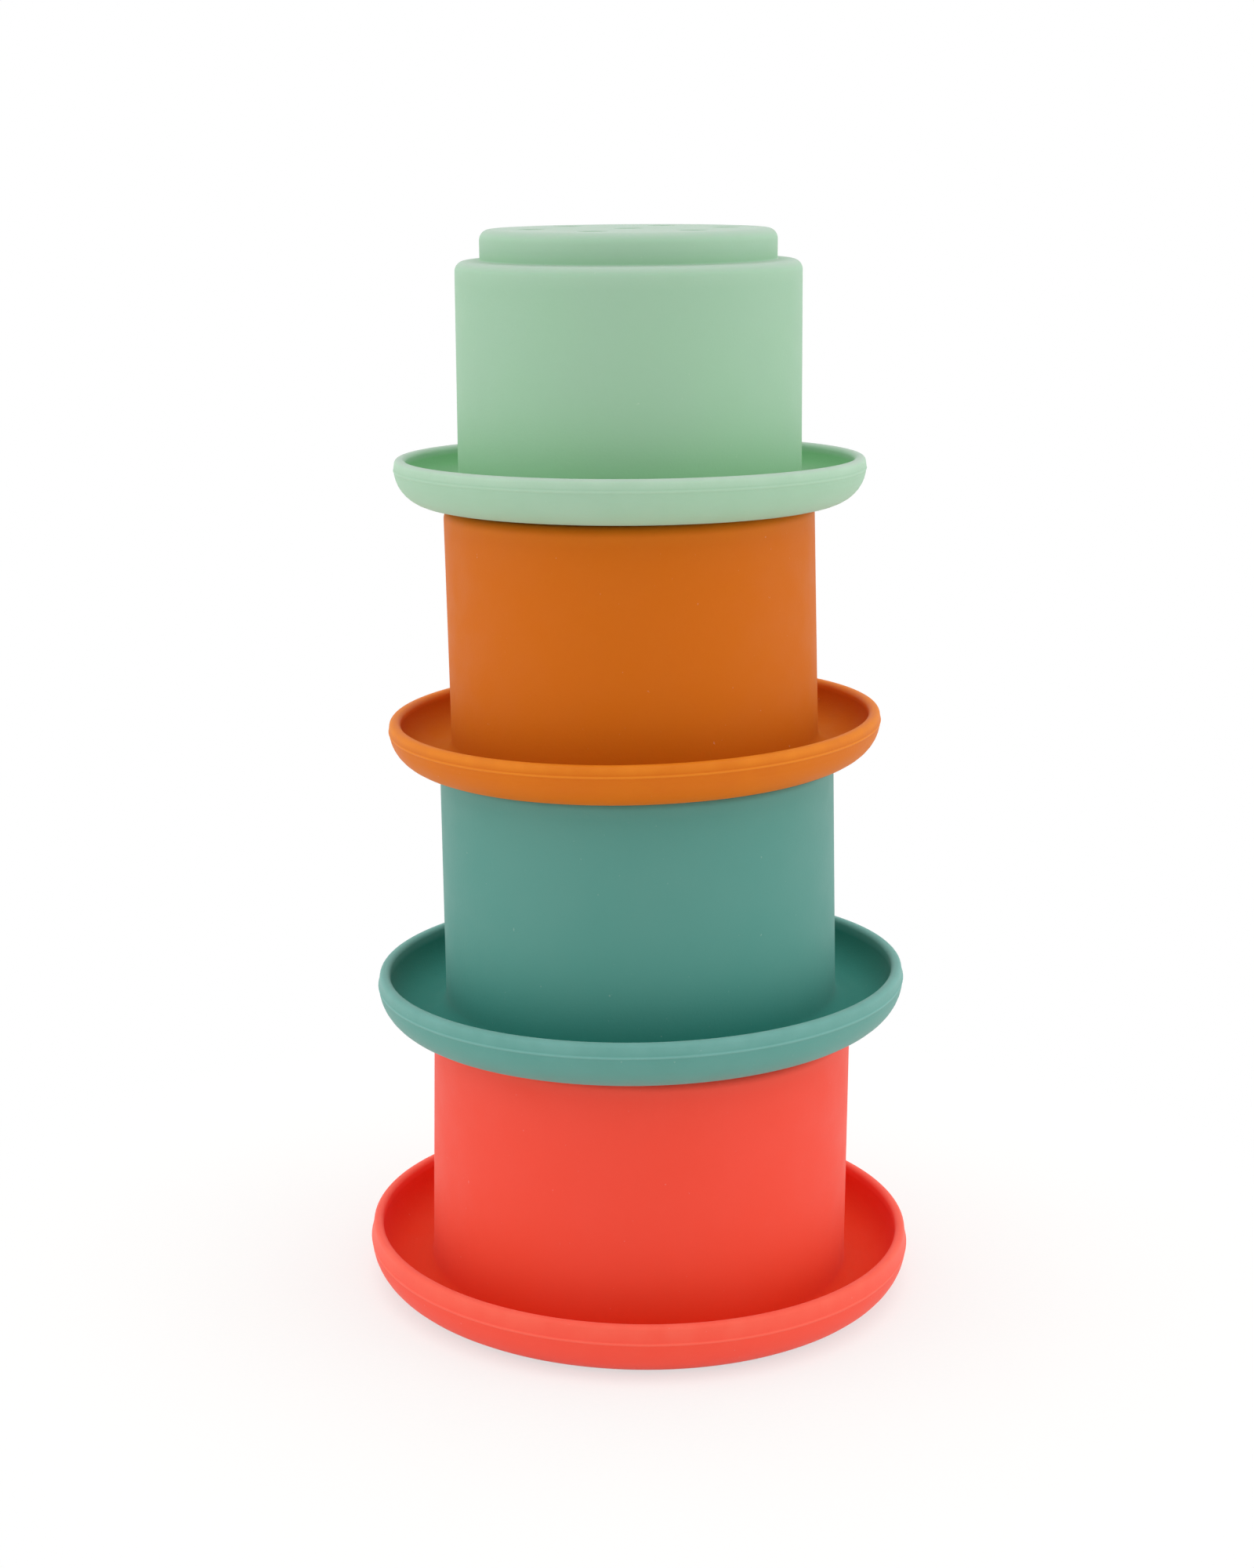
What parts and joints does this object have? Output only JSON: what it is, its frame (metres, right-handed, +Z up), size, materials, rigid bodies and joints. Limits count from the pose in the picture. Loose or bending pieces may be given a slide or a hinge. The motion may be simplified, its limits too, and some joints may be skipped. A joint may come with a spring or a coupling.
{
  "type": "stacking cup tower",
  "caption": "Tower of soft moulded stacking cups, each mouth down on the plug of the cup below, with drain holes and an upturned brim round every mouth.",
  "frame": {"origin": "centre of the largest cup's mouth, on the surface that the tower stands on", "axes": "+Z up through the largest cup, +X to the right and +Y away from the front"},
  "size_m": [0.11, 0.11, 0.2103],
  "materials": {
    "coral_silicone": "matt moulded silicone",
    "teal_silicone": "matt moulded silicone",
    "orange_silicone": "matt moulded silicone",
    "mint_silicone": "matt moulded silicone"
  },
  "bodies": {
    "coral_cup": {"coral_cup": "coral_silicone"},
    "teal_cup": {"teal_cup": "teal_silicone"},
    "orange_cup": {"orange_cup": "orange_silicone"},
    "mint_cup": {"mint_cup": "mint_silicone"}
  },
  "joints": [
    {"name": "teal_cup_lift", "type": "slide", "parent": "coral_cup", "child": "teal_cup", "axis": [-0.0305, -0.0035, 0.9995], "range_m": [0, 0.03]},
    {"name": "orange_cup_lift", "type": "slide", "parent": "teal_cup", "child": "orange_cup", "axis": [-0.0375, -0.0262, 0.999], "range_m": [0, 0.03]},
    {"name": "mint_cup_lift", "type": "slide", "parent": "orange_cup", "child": "mint_cup", "axis": [-0.0183, -0.0541, 0.9984], "range_m": [0, 0.03]}
  ]
}
